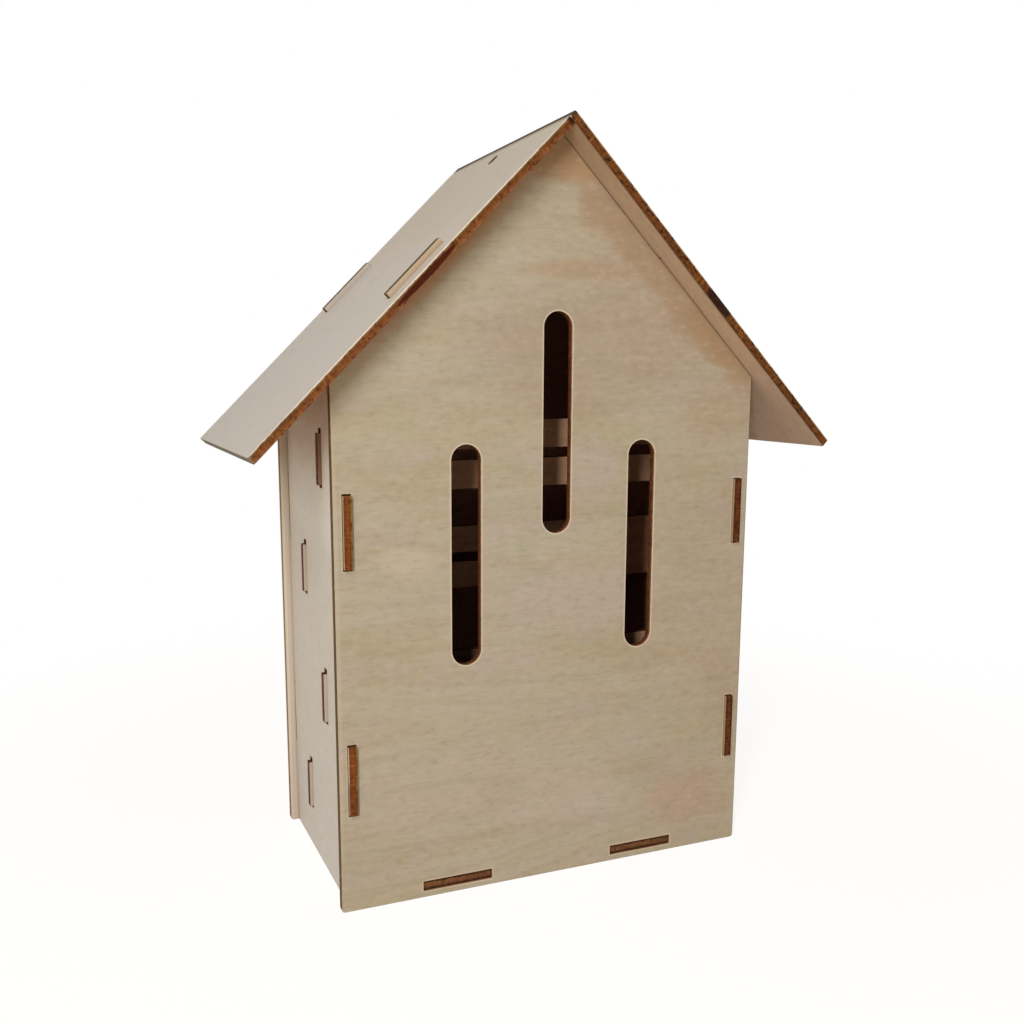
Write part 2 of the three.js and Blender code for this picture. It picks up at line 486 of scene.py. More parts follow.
class SheetFinish:
    """What the veneer and the burnt edge have in common: patterns in millimetres on the sheet's own plane."""

    pattern_step = 7.3       # how far the noise moves from one pattern to the next
    noise_span = (0.3, 0.7)  # values between which nearly all of a noise field lies

    def __init__(self, name: str, seat: Seat, seed: float, patterns: dict[str, Pattern]) -> None:
        """Starts the material with the sheet's coordinates and its patterns.

        Args:
            name: the material's name.
            seat: where the sheet stands, which turns the coordinates back to the bench.
            seed: moves the noise, so that no two sheets are alike.
            patterns: the patterns, by the names that the tints call them.
        """
        self.material, tree = new_material(name)
        self.add = partial(add_node, tree)
        bench = self.add("Mapping", {
            "Vector": self.add("TexCoord").outputs["Object"], "Location": [MM * v for v in seat.origin],
            "Rotation": seat.turn, "Scale": (MM, MM, MM)}, vector_type="TEXTURE")
        self.bench = bench.outputs[0]
        self.fields = {name: self._field(pattern, seed + self.pattern_step * number)
                       for number, (name, pattern) in enumerate(patterns.items())}

    def _field(self, pattern: Pattern, shift: float) -> Socket:
        """Adds a noise field.

        Args:
            pattern: its sizes.
            shift: how far it is moved, counted in its own blobs.

        Returns:
            The field.
        """
        scaled = self.add("Mapping", {
            "Vector": self.bench, "Location": (shift, -shift, shift / 3),
            "Scale": (1 / pattern.length, 1 / pattern.width, 1 / pattern.depth)}, vector_type="POINT")
        field = self.add("TexNoise", {
            "Vector": scaled, "Scale": 1.0, "Detail": pattern.detail, "Roughness": pattern.roughness,
            "Distortion": pattern.distortion}, noise_dimensions="3D")
        if pattern.rings:
            turns = self.add("Math", {0: field, 1: math.tau * pattern.rings}, operation="MULTIPLY")
            wave = self.add("Math", {0: turns}, operation="SINE")
            field = self.add("Math", {0: wave, 1: 0.5, 2: 0.5}, operation="MULTIPLY_ADD")
        return field.outputs[0]

    def lay(self, base: Any, mask: Socket, span: Point, amount: float, colour: str) -> Socket:
        """Lays a colour over another where a mask is strong.

        Args:
            base: the colour so far, as a socket or a linear colour.
            mask: the mask.
            span: its values where the new colour starts to show and where it is full.
            amount: how much of it shows there.
            colour: the new colour.

        Returns:
            The mixed colour.
        """
        share = self.add("MapRange", {
            "Value": mask, "From Min": span[0], "From Max": span[1], "To Min": 0.0, "To Max": amount},
            interpolation_type="SMOOTHSTEP")
        # The Mix node's colours are its sockets 6 and 7, and its third output.
        return self.add("Mix", {0: share, 6: base, 7: linear(colour)}, data_type="RGBA").outputs[2]

    def add_tint(self, base: Any, tint: Tint) -> Socket:
        """Lays a tint over the colour so far."""
        return self.lay(base, self.fields[tint.pattern], (tint.low, tint.high), tint.amount, tint.colour)

    def add_spot(self, base: Any, spot: Spot, plane: Socket) -> Socket:
        """Lays one soft oval over a colour.

        Args:
            base: the colour so far.
            spot: the oval.
            plane: bench coordinates, shaken where its rim is to wander.

        Returns:
            The new colour.
        """
        oval = self.add("Mapping", {
            "Vector": plane, "Location": (*spot.centre, spot.height), "Scale": (*spot.radii, spot.rise),
            "Rotation": (0, 0, math.radians(spot.turn))}, vector_type="TEXTURE")
        glow = self.add("TexGradient", {"Vector": oval}, gradient_type="SPHERICAL")
        return self.lay(base, glow.outputs["Fac"], (0.0, 1 - spot.core), spot.amount, spot.colour)

    def add_rim(self, base: Any, rim: Rim) -> Socket:
        """Lays a line round a slot over a colour, which fades with the distance from the slot.

        Args:
            base: the colour so far.
            rim: the line.

        Returns:
            The new colour.
        """
        away = self.bench
        for operation, inputs in (("ABSOLUTE", {}), ("SUBTRACT", {1: (*rim.centre, 0)}), ("ABSOLUTE", {}),
                                  ("SUBTRACT", {1: (*rim.half, BEYOND)}), ("MAXIMUM", {1: (0, 0, 0)})):
            away = self.add("VectorMath", {0: away, **inputs}, operation=operation)
        away = self.add("VectorMath", {0: away}, operation="LENGTH").outputs["Value"]
        return self.lay(base, away, (rim.radius + rim.reach, rim.radius), rim.amount, rim.colour)

    def shaken(self, name: str, along: float, across: float) -> Socket:
        """Shakes the bench coordinates, so that what is drawn on them gets a wandering rim.

        Args:
            name: the pattern that moves them.
            along: how far it moves them along the grain.
            across: how far it moves them across the grain.

        Returns:
            The shaken coordinates.
        """
        centred = self.add("Math", {0: self.fields[name], 1: 0.5}, operation="SUBTRACT")
        push = self.add("CombineXYZ", {"X": centred, "Y": centred})
        return self.add("VectorMath", {0: push, 1: (along, across, 0), 2: self.bench},
                        operation="MULTIPLY_ADD").outputs[0]

    def close(self, colour: Socket, rough: tuple[str, float, float], relief: tuple[str, float],
              specular: float = 0.5) -> Material:
        """Ends the material with its shader.

        Args:
            colour: the finished colour.
            rough: the pattern that roughness follows, and the roughness where it is low and high.
            relief: the pattern that the surface's height follows, and that height in millimetres.
            specular: how strongly it mirrors.

        Returns:
            The material.
        """
        field, smooth, coarse = rough
        roughness = self.add("MapRange", {
            "Value": self.fields[field], "From Min": self.noise_span[0], "From Max": self.noise_span[1],
            "To Min": smooth, "To Max": coarse})
        bump = self.add("Bump", {
            "Height": self.fields[relief[0]], "Distance": relief[1] * MM, "Strength": 1.0})
        shader = self.add("BsdfPrincipled", {
            "Base Color": colour, "Roughness": roughness, "Normal": bump, "IOR": WOOD_IOR,
            "Specular IOR Level": specular})
        self.add("OutputMaterial", {"Surface": shader})
        return self.material


@dataclass(frozen=True)
class SandedVeneer:
    """Rotary-cut birch face veneer, sanded and left raw.

    The eye sees a pale wood with a dull sheen and no clear stripes: short flecks along the grain, soft clouds
    of greener, pinker and warmer wood, and here and there the thin contour lines of the rings that the knife
    skimmed.
    """

    name: str                     # the material's name
    wood: str                     # the wood's own colour
    dark: str                     # colour of the darker flecks, pores and contour lines
    pale: str                     # colour of the paler flecks
    grain: float = 1.0            # strength of the flecks and lines
    tints: tuple[Tint, ...] = ()  # broad changes of colour over the sheet
    spots: tuple[Spot, ...] = ()  # patches with a wandering rim, at their own places
    rims: tuple[Rim, ...] = ()    # pale lines round slots, painted highlights
    marks: tuple[Spot, ...] = ()  # patches with a clean rim, most of them painted light, shade and highlights at tabs, slots and edges

    def make(self, piece: str, seat: Seat, seed: float) -> Material:
        """Makes the veneer of one sheet.

        Args:
            piece: the sheet's name, which ends the material's.
            seat: where the sheet stands.
            seed: moves the noise.

        Returns:
            The material.
        """
        # A pore is some 0.1 mm wide and a streak 0.3 mm, too fine to show, so both are drawn wider.
        finish = SheetFinish(f"{self.name}_{piece}", seat, seed, {
            "cloud": Pattern(60, 24, detail=3, distortion=0.4),
            "band": Pattern(90, 6, detail=3, distortion=0.2),
            "pink": Pattern(22, 11, detail=3),
            "green": Pattern(17, 9, detail=3),
            "fleck": Pattern(3.4, 1.8, detail=3),
            "streak": Pattern(9, 0.8),
            "pore": Pattern(2.2, 0.4, detail=1),
            "contour": Pattern(240, 40, detail=1, distortion=0.3, rings=11)})
        base: Any = linear(self.wood)
        for tint in self.tints:
            base = finish.add_tint(base, tint)
        plane = finish.shaken("cloud", along=30, across=12)
        for spot in self.spots:
            base = finish.add_spot(base, spot, plane)
        for field, low, high, amount, colour in (
                ("fleck", 0.5, 0.8, 0.4, self.dark), ("fleck", 0.5, 0.2, 0.42, self.pale),
                ("streak", 0.5, 0.8, 0.28, self.dark), ("pore", 0.6, 0.8, 0.35, self.dark),
                ("contour", 0.6, 1.0, 0.14, self.dark)):
            base = finish.add_tint(base, Tint(field, low, high, amount * self.grain, colour))
        for rim in self.rims:
            base = finish.add_rim(base, rim)
        for mark in self.marks:
            base = finish.add_spot(base, mark, finish.bench)
        return finish.close(base, rough=("fleck", 0.52, 0.66), relief=("fleck", 0.02))


@dataclass(frozen=True)
class BurntPlies:
    """Edge of birch plywood cut by a laser.

    The eye sees brown char instead of wood: orange brown plies mottled with darker blots, fine upright
    streaks, and a thin rim along each face, black where the beam burnt it; a pale lip on some sheets is a
    painted highlight along the arris.
    """

    name: str                             # the material's name
    plies: tuple[tuple[float, str], ...]  # depths, from the outer face as shares of the whole, and colours
    char: str                             # colour of the blots
    tan: str                              # colour of the lightest streaks
    burns: tuple[Spot, ...] = ()          # places where the beam lingered, drawn under the blots
    spots: tuple[Spot, ...] = ()          # places that are charred deeper or less, and painted shade, drawn over them
    blots: float = 0.8                    # how strong the blots are
    wander: float = 0.9                   # how far the plies' borders wander, as a share of their depth

    def make(self, piece: str, seat: Seat, seed: float) -> Material:
        """Makes the burnt edge of one sheet.

        Args:
            piece: the sheet's name, which ends the material's.
            seat: where the sheet stands.
            seed: moves the noise.

        Returns:
            The material.
        """
        # The beam's streaks are some 0.2 mm apart, too fine to show, so they are drawn at 0.5 mm.
        finish = SheetFinish(f"{self.name}_{piece}", seat, seed, {
            "blot": Pattern(1.5, 1.5, 0.9, distortion=0.4),
            "beam": Pattern(0.5, 0.5, 8),
            "waver": Pattern(2.6, 2.6, 2.6, detail=3),
            "scorch": Pattern(15, 15, 6)})
        depth = finish.add("SeparateXYZ", {0: finish.bench}).outputs["Z"]
        # The deeper a border between plies lies, the more it wanders, so the outer rim stays thin.
        share = finish.add("Math", {0: depth, 1: -PLY}, operation="DIVIDE")
        wander = finish.add("Math", {
            0: finish.fields["waver"], 1: self.wander, 2: 1 - self.wander / 2}, operation="MULTIPLY_ADD")
        level = finish.add("Math", {0: share, 1: wander}, operation="MULTIPLY")
        ramp = finish.add("ValToRGB", {0: level})
        stops = ramp.color_ramp.elements
        while len(stops) < len(self.plies):
            stops.new(0.5)
        for stop, (place, colour) in zip(stops, self.plies):
            stop.position, stop.color = place, linear(colour)
        base = finish.add_tint(ramp.outputs["Color"], Tint("beam", 0.5, 0.7, 0.45, self.tan))
        plane = finish.shaken("waver", along=3, across=3)
        for burn in self.burns:
            base = finish.add_spot(base, burn, plane)
        for field, high, amount in (("beam", 0.3, 0.3), ("blot", 0.66, self.blots), ("scorch", 0.72, 0.4)):
            base = finish.add_tint(base, Tint(field, 0.5, high, amount, self.char))
        for spot in self.spots:
            base = finish.add_spot(base, spot, plane)
        return finish.close(base, rough=("blot", 0.6, 0.8), relief=("beam", 0.05), specular=0.15)


@dataclass(frozen=True)
class Dress:
    """The finishes of one sheet's outer face, inner face and cut edges."""

    outer: SandedVeneer
    inner: SandedVeneer
    edge: BurntPlies


def mirrored(*spots: Spot) -> tuple[Spot, ...]:
    """Moves spots to the other side of the bench's Y axis."""
    return tuple(replace(spot, centre=(-spot.centre[0], spot.centre[1]), turn=-spot.turn) for spot in spots)


def both_sides(*spots: Spot) -> tuple[Spot, ...]:
    """Gives the spots of one side together with their mirror images."""
    return spots + mirrored(*spots)


# Soft clouds that turn the boards' birch browner, greyer, pinker and greener from place to place.
BIRCH_CLOUDS = (
    Tint("cloud", 0.46, 0.66, 0.55, "#B1A181"),
    Tint("cloud", 0.5, 0.32, 0.5, "#B4AB98"),
    Tint("band", 0.48, 0.7, 0.4, "#AA9576"),
    Tint("pink", 0.5, 0.68, 0.65, "#B5A69A"),
    Tint("green", 0.5, 0.68, 0.45, "#ABA789"),
)
# What the gable tabs show above the roof is painted paler than the board: painted light, as they stand clear
# of the roof's shade.
TAB_FACES = both_sides(Spot((-48.2, 202.7), (15.5, 3.2), "#C4B198", 0.9, turn=45, core=0.8))
# Painted highlights: thin pale lines round the joint slots.
JOINT_RIMS = (
    Rim((70.5, 44.2), (1.4, 11.8), amount=0.5), Rim((70.5, 123.5), (1.4, 11.8), amount=0.5),
    Rim((35, 3.85), (12.25, 1.65), amount=0.7, colour="#E0CCB4"),
)
# Gable boards: greyish cream, with painted shade along the roof, at the apex and towards the right, and
# painted highlights round the entrances.
BOARD_FACE = SandedVeneer(
    "sanded_birch_veneer_board", wood="#B4A993", dark="#8F8065", pale="#C6BCA7", grain=0.8,
    tints=BIRCH_CLOUDS,
    spots=(
        # Painted shade under the roof: warmer and darker below the apex and along the right slope.
        Spot((10, 179), (50, 27), "#AC9A84", 0.8),
        Spot((33, 196), (64, 26), "#AE9C86", 0.6, turn=-45),
        Spot((-2, 217), (30, 13), "#B1A48B", 0.75),
        Spot((7, 203), (30, 4.5), "#AD967A", 0.8),
        Spot((37.5, 207.5), (68, 13.5), "#A78C70", 0.9, turn=-45, core=0.55),
        Spot((65, 182), (30, 13), "#A2835F", 0.6, turn=-45),
        # Paler and darker patches over the rest; the darker, redder ones on the right are partly painted
        # shade, far from the lamp.
        Spot((16, 140), (12, 16), "#B5A798", 0.8),
        Spot((10, 97), (46, 13), "#B7A89D", 0.6),
        Spot((2, 27), (32, 17), "#BBAEA1", 0.65),
        Spot((63, 158), (19, 12), "#B0997D", 0.5),
        Spot((68, 60), (13, 18), "#AA957A", 0.5),
        Spot((-37, 35), (42, 20), "#B6A997", 0.8),
        Spot((-52, 113.5), (13, 7), "#BDB09B", 0.8),
        Spot((55, 19), (22, 16), "#B49C86", 0.7),
        Spot((56, 90), (26, 60), "#B29F86", 0.45),
        # Painted shade just below the apex.
        Spot((2, 236), (16, 9), "#AC8B67", 0.8),
    ),
    rims=(Rim((0, 155.15), (0, 30.65), 5.0), Rim((31.7, 113.65), (0, 30.65), 5.0), *JOINT_RIMS),
    marks=(
        *TAB_FACES,
        Spot((37.5, 207.6), (60, 0.5), "#7E5E40", 0.5, turn=-45, core=0.5),
        # Painted shadow that the left slope's eave casts on the face.
        Spot((-37.5, 207.5), (64, 6), "#A97E57", 0.9, turn=45, core=0.2),
        # A pale line along the left edge: a painted highlight.
        Spot((-74.5, 85), (1.3, 96), "#D0BFA6", 0.25, core=0.5),
        Spot((75.1, 85), (0.6, 100), "#77654F", 0.7, core=0.5),
    ))
REAR_FACE = replace(BOARD_FACE, name="sanded_birch_veneer_rear", spots=(), rims=JOINT_RIMS, marks=TAB_FACES)
FLOOR_FACE = replace(BOARD_FACE, name="sanded_birch_veneer_floor", spots=(), rims=(), marks=())
# Walls: nearly white and cool, partly as painted light and sheen, which they catch more than the boards; a
# warm tan of painted shade up under the eaves, and tabs that turn paler or browner with painted light and
# shade.
WALL_FACE = SandedVeneer(
    "sanded_birch_veneer_side", wood="#D1CBBF", dark="#BEB5A4", pale="#D9D5CB", grain=0.6,
    tints=(
        Tint("cloud", 0.48, 0.7, 0.3, "#CFC4B3"), Tint("pink", 0.5, 0.7, 0.45, "#D2C7BF"),
        Tint("green", 0.5, 0.7, 0.45, "#CAC9B6")),
    # First spot: painted light just below the eaves' shadow; second: painted shade under the eaves; third: a
    # greyer foot.
    spots=(
        Spot((0, 132), (90, 22), "#E2DED3", 0.8), Spot((0, 170), (90, 34), "#BF9E82", 0.7, core=0.3),
        Spot((0, 10), (70, 60), "#CCCBC7", 0.4)),
    # Painted light and shade on the tab flanks in the front board's slots, the browns partly smoke: paler on
    # the lower tab's upper half, browner on its lower half and on the upper tab.
    marks=both_sides(
        Spot((38.4, 50), (1.8, 9), "#F2E2CA", core=0.7),
        Spot((38.4, 37), (1.8, 7), "#B89A7C", core=0.7),
        Spot((39.4, 123.5), (2.9, 14), "#C0A482", core=0.8),
        Spot((40.9, 50), (1.5, 8), "#DCC3AC", core=0.7),
        Spot((40.9, 38), (1.5, 7), "#A48A6C", core=0.7)))
# Painted highlights: pale lines along the rear sides of the slats' slots.
SLOT_LINES = tuple(Spot((x, z), (0.8, 10.4), "#E6DACB", 0.55, core=0.6)
                   for x, z in ((-15.1, 24), (10.7, 64), (-15.1, 104), (10.7, 144)))
LEFT_WALL_FACE = replace(WALL_FACE, marks=(*SLOT_LINES, *WALL_FACE.marks))
RIGHT_WALL_FACE = replace(WALL_FACE, marks=(*mirrored(*SLOT_LINES), *WALL_FACE.marks))
# Roof: pale and nearly plain, partly as painted light and sheen, which it catches more than the boards;
# greyer at the eaves and warmer at the ridge.
ROOF_FACE = SandedVeneer(
    "sanded_birch_veneer_roof", wood="#C5BBAD", dark="#B5A896", pale="#CFC7BD", grain=0.5,
    tints=(
        Tint("cloud", 0.48, 0.7, 0.3, "#C4B6A0"), Tint("pink", 0.5, 0.7, 0.5, "#C8B9AF"),
        Tint("green", 0.5, 0.7, 0.5, "#BEB9A3")),
    spots=(Spot((-120, 0), (90, 90), "#C5BFB7", 0.5), Spot((-10, 0), (60, 90), "#BDB09A", 0.6)),
    # Painted highlights: pale lines round the gable slots and the cord hole, and along the top face's front
    # edge.
    rims=(Rim((64, 38.65), (12.3, 1.75), amount=0.6, colour="#DCCFBC"),
          Rim((5.7, 0), (0, 0), 2.2, colour="#D8CCBC")),
    marks=(Spot((-70, -49.7), (90, 1.7), "#FFF0DA", core=0.6),))
# Inner faces: reddish brown, partly smoke from the cut and partly painted shade inside the box; what stands
# out of the box is painted pale, out of that shade.
SHADE_AND_SMOKE = SandedVeneer(
    "smoke_browned_birch_veneer", wood="#9C6E60", dark="#7C5244", pale="#AE8272",
    tints=(Tint("cloud", 0.45, 0.7, 0.4, "#8A5C4E"),))
SHADE_AND_SMOKE_BOARD = replace(
    SHADE_AND_SMOKE, name="smoke_browned_birch_veneer_board",
    marks=(
        # Painted light on the gable tabs' inner faces above the roof.
        *(replace(face, colour="#BEB5A7") for face in TAB_FACES),
        # Painted light on the strips past the walls, a paler line near the edge, and a line of painted shade
        # at the wall.
        *both_sides(
            Spot((73.9, 85), (3.4, 120), "#C5B8A7", core=0.8), Spot((74.5, 85), (0.9, 120), "#DFD2BB", 0.6),
            Spot((72.2, 85), (0.7, 120), "#A8957C", 0.4))))
SHADE_AND_SMOKE_WALL = replace(
    SHADE_AND_SMOKE, name="smoke_browned_birch_veneer_side",
    # Painted light on the tabs' inner flanks in the slots; browner, partly smoke and partly painted shade,
    # where they stand proud.
    marks=both_sides(Spot((38.4, 85), (1.8, 96), "#F2E2CA", core=0.8),
                     Spot((40.9, 85), (1.5, 96), "#A48A68", core=0.7)))
# The roof's underside: yellower and browner than its top, partly as painted shade, browner over the gable,
# and with painted shade at the eaves.
UNDERSIDE = SandedVeneer(
    "sanded_birch_veneer_underside", wood="#C7AF94", dark="#A3896E", pale="#D4C1A9", grain=0.8,
    tints=(Tint("cloud", 0.45, 0.7, 0.35, "#B7A18D"), Tint("pink", 0.5, 0.7, 0.35, "#C0A798")),
    spots=(Spot((0, -50), (36, 40), "#AA8E6F", 0.5), Spot((140, -50), (50, 60), "#AD9587", 0.5)))
# Slats: orange tan with coarse flecks, for this veneer was left rough; the orange is partly painted shade
# inside the box, and the tabs, which show in the walls' slots, are painted paler, out of that shade.
SLAT_FACE = SandedVeneer(
    "rough_birch_veneer_slat", wood="#B48A6A", dark="#8A644A", pale="#C8A482",
    tints=(Tint("cloud", 0.45, 0.7, 0.3, "#A2765A"),),
    marks=both_sides(Spot((72.6, 0), (3.4, 14), "#BCAB99", core=0.8)))
# A quick cut: orange brown plies under a dark rim.
EDGE = BurntPlies(
    "laser_burnt_birch_plies",
    plies=((0.0, "#3A2810"), (0.1, "#4A3314"), (0.26, "#643F1A"), (0.4, "#744219"), (0.6, "#7E4B24"),
           (0.85, "#885633"), (1.0, "#96694A")),
    char="#4A200A", tan="#96602E", blots=0.6)
# Darker, greener char on the gable tabs' upper ends.
GABLE_TAB_CHAR = Spot((-48.65, 203.14), (14, 1.3), "#54431F", turn=45, core=0.7)
# Gable boards' edges: a pale lip, a painted highlight along the arris, in front of the dark plies.
PALE_LIPPED_EDGE = replace(
    EDGE, name="pale_lipped_burnt_birch_plies",
    plies=((0.0, "#B29678"), (0.06, "#A07E5A"), (0.2, "#8A5C3A"), (0.42, "#66391F"), (0.9, "#5E321C"),
           (1.0, "#743E26")),
    char="#40200F", tan="#966A40", blots=0.4,
    spots=both_sides(Spot((75.3, 85), (1.2, 100), "#5C4424", core=0.7), GABLE_TAB_CHAR))
REAR_EDGE = replace(
    PALE_LIPPED_EDGE, name="lightly_burnt_birch_plies_rear",
    spots=both_sides(Spot((75.3, 85), (1.2, 100), "#8E7A5E", core=0.7), GABLE_TAB_CHAR))
# Slower cuts: nearly black along both faces, or warm brown where the char has flaked off.
DEEP_EDGE = replace(
    EDGE, name="deep_burnt_birch_plies",
    plies=((0.0, "#2E1A0A"), (0.1, "#3C200C"), (0.24, "#5C2E12"), (0.5, "#6E3817"), (0.76, "#5C2E12"),
           (0.9, "#3C200C"), (1.0, "#2E1A0A")), char="#34180A", tan="#84502A", blots=0.8)
WARM_DEEP_EDGE = replace(
    DEEP_EDGE, name="warm_burnt_birch_plies",
    plies=((0.0, "#6E4826"), (0.08, "#6A3C18"), (0.26, "#7A4219"), (0.5, "#84481B"), (0.76, "#743C16"),
           (0.86, "#74582C"), (1.0, "#80703E")), char="#4A220C", tan="#9C6632", blots=0.6)
# The floor's tabs: light brown between two dark rims.
TAB_EDGE = replace(
    EDGE, name="lightly_burnt_birch_plies",
    plies=((0.0, "#2A160A"), (0.16, "#482612"), (0.3, "#744C2C"), (0.7, "#7C5434"), (0.84, "#482612"),
           (1.0, "#2A160A")), char="#54341C", tan="#866040", blots=0.8)
# Roof edges: a cream lip, painted highlight along the arris, and on each slope one long burn where the beam
# slowed down.
LEFT_ROOF = Dress(ROOF_FACE, UNDERSIDE, replace(
    EDGE, name="laser_burnt_birch_plies_left_roof",
    plies=((0.0, "#D8C2A2"), (0.1, "#7C6040"), *EDGE.plies[2:]), tan="#A86C34", blots=0.7,
    burns=(Spot((-66, -50), (15, 4), "#3C0800", 0.93, height=-1.45, rise=1.2, core=0.72),),
    spots=(
        Spot((-141, 0), (1.6, 90), "#7D7463", core=0.7),
        Spot((-5.7, 0), (4, 4), "#66493A", core=0.8),
        # Painted shade at the left panel's upper end, where it runs in under the right panel.
        Spot((-0.2, -50), (1.9, 4), "#3A1408", 0.85, core=0.5))))
# Right panel's underside: a scorched line along the front edge, and painted shade at the ridge where the
# panels meet.
SCORCHED_AND_SHADED_UNDERSIDE = replace(
    UNDERSIDE, name="sanded_birch_veneer_scorched_underside",
    marks=(Spot((70, -50), (90, 1.1), "#6A4222", 0.85, core=0.4),
           Spot((-1.2, -50), (1.8, 2), "#3A2014", 0.9, core=0.6)))
RIGHT_ROOF = Dress(ROOF_FACE, SCORCHED_AND_SHADED_UNDERSIDE, replace(
    EDGE, name="laser_burnt_birch_plies_right_roof",
    plies=((0.0, "#D2BA9C"), (0.07, "#BC9C7A"), (0.16, "#74502E"), (0.26, "#64370F"), (0.6, "#74431B"),
           (0.84, "#5E3614"), (1.0, "#66401F")), char="#2A1207", tan="#A66E32", blots=0.9,
    burns=(Spot((74.2, -50), (7.4, 4), "#1E0E06", 0.9, height=-1.2, rise=2.2, core=0.7),),
    spots=(
        Spot((-2.7, 0), (1.5, 90), "#43321E", core=0.7),
        Spot((-2.7, 0), (1.5, 90), "#B3A48C", height=-2.9, rise=1.3, core=0.6))))
FRONT = Dress(BOARD_FACE, SHADE_AND_SMOKE_BOARD, PALE_LIPPED_EDGE)
REAR = Dress(REAR_FACE, SHADE_AND_SMOKE_BOARD, REAR_EDGE)
LEFT_WALL = Dress(LEFT_WALL_FACE, SHADE_AND_SMOKE_WALL, WARM_DEEP_EDGE)
RIGHT_WALL = Dress(RIGHT_WALL_FACE, SHADE_AND_SMOKE_WALL, DEEP_EDGE)
FLOOR = Dress(FLOOR_FACE, SHADE_AND_SMOKE, TAB_EDGE)
SLAT = Dress(SLAT_FACE, SLAT_FACE, DEEP_EDGE)
# Painted shade on the upper middle of the second slat, so no pale patch shows at the foot of the left
# entrance.
SHADED_SECOND_SLAT_FACE = replace(SLAT_FACE, marks=(*SLAT_FACE.marks, Spot((-21.6, 10), (10, 7), "#50362A", 0.85)))
SHADED_SECOND_SLAT = Dress(SHADED_SECOND_SLAT_FACE, SLAT_FACE, DEEP_EDGE)
# The top slat's tabs are painted browner: painted shade, as they stand under the eaves.
TOP_SLAT_FACE = replace(SLAT_FACE, marks=both_sides(Spot((72.6, 0), (3.4, 14), "#957250", core=0.8)))
TOP_SLAT = Dress(TOP_SLAT_FACE, TOP_SLAT_FACE, DEEP_EDGE)


def finish_sheet(sheet: PlySheet, node: str, seat: Seat, dress: Dress, seed: float) -> None:
    """Sands and dresses a sheet, turns it up into its place and hands it to the frame.

    Args:
        sheet: the sheet on the bench.
        node: the CAD node that it stands for.
        seat: where it goes.
        dress: its finishes.
        seed: moves the noise in them.
    """
    sheet.sand()
    sheet.dress([finish.make(f"{node}_{skin.name.lower()}", seat, seed + SKIN_SEED_STEP * skin.value)
                 for skin, finish in zip(Skin, (dress.outer, dress.inner, dress.edge))])
    piece = sheet.piece
    activate(piece)
    piece.rotation_euler = seat.turn
    piece.location = [MM * v for v in seat.origin]
    bpy.ops.object.transform_apply()
    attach(piece, "root")
    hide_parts(node)
    low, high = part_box(node)
    corners = [Vector(corner) for corner in piece.bound_box]
    off = max(max(abs(min(c[i] for c in corners) - low[i]), abs(max(c[i] for c in corners) - high[i]))
              for i in range(3))
    LOG.info("%s stands for %s: %d faces, %.3f mm off its node's box", piece.name, node,
             len(piece.data.polygons), off / MM)


@dataclass
class GableBoards:
    """The house-shaped front board with the three entrances, and its plain twin at the back.

    The gable tabs are placed by their distance down the slope from the apex. Only the front board's left
    wall slots are loose. Each wall slot is longer than its tab by wall_slot_play at either end, on the left
    and on the right. An entrance is given by its middle, its lower end and its upper end.
    """

    width: float = 150.0
    apex: float = 245.0
    depth: float = 80.0
    corner: float = 1.2
    gable_tab: Point = (52.1, 75.9)
    gable_tab_reach: float = 4.8
    wall_slot_near: float = 69.1
    wall_slot_loose: float = 72.05
    wall_slot_snug: float = 71.9
    wall_slot_play: Point = (0.45, 0.12)
    floor_slot_x: Point = (22.75, 47.25)
    floor_slot_z: Point = (2.2, 5.5)
    entrance_width: float = 10.0
    entrances: tuple[Place, ...] = ((-31.7, 78.0, 149.3), (0.0, 119.5, 190.8), (31.7, 78.0, 149.3))

    def _board(self) -> PlySheet:
        """Cuts the outline, tabs and joint slots that both boards have.

        Returns:
            The sheet on the bench.
        """
        half = self.width / 2
        board = PlySheet("gable_board_front", (-half, 0.0), (half, self.apex))
        slope = math.sqrt(0.5)
        for side in (-1, 1):
            board.saw_off((0.0, self.apex), (side * slope, slope))
        for side in (-1, 1):
            near, far = ((side * run * slope, self.apex - run * slope) for run in self.gable_tab)
            board.pull_tab(*((far, near) if side < 0 else (near, far)), self.gable_tab_reach)
        board.clean_faces()
        board.round_corners([(-half, 0.0), (half, 0.0)], self.corner)
        return board

    def _joint_slots(self, left_far: float, right_far: float) -> list[Hole]:
        """Lists the slots for the tabs of the walls and the floor.

        Args:
            left_far: outer side of the left wall's slots, from the middle.
            right_far: outer side of the right wall's.

        Returns:
            The slots.
        """
        spans = [(side, (self.wall_slot_near, far), (low - play, high + play))
                 for side, far, play in zip((-1, 1), (left_far, right_far), self.wall_slot_play)
                 for low, high in WALL_TABS_Z]
        spans += [(side, self.floor_slot_x, self.floor_slot_z) for side in (-1, 1)]
        return [Hole((min(side * near, side * far), low), (max(side * near, side * far), high))
                for side, (near, far), (low, high) in spans]

    def build(self) -> None:
        """Makes both boards."""
        front = self._board()
        back = front.copy("gable_board_back")
        back.cut(self._joint_slots(self.wall_slot_snug, self.wall_slot_snug))
        front.cut(self._joint_slots(self.wall_slot_loose, self.wall_slot_snug))
        half = self.entrance_width / 2
        front.cut([Hole((x - half, low), (x + half, high), rounded=True) for x, low, high in self.entrances])
        for board, node, facing, y, dress, seed in (
                (front, "front_board", Facing.FRONT, -self.depth / 2, FRONT, 3.0),
                (back, "back_board", Facing.BACK, self.depth / 2, REAR, 11.0)):
            finish_sheet(board, node, Seat(facing, (0.0, y, 0.0)), dress, seed)


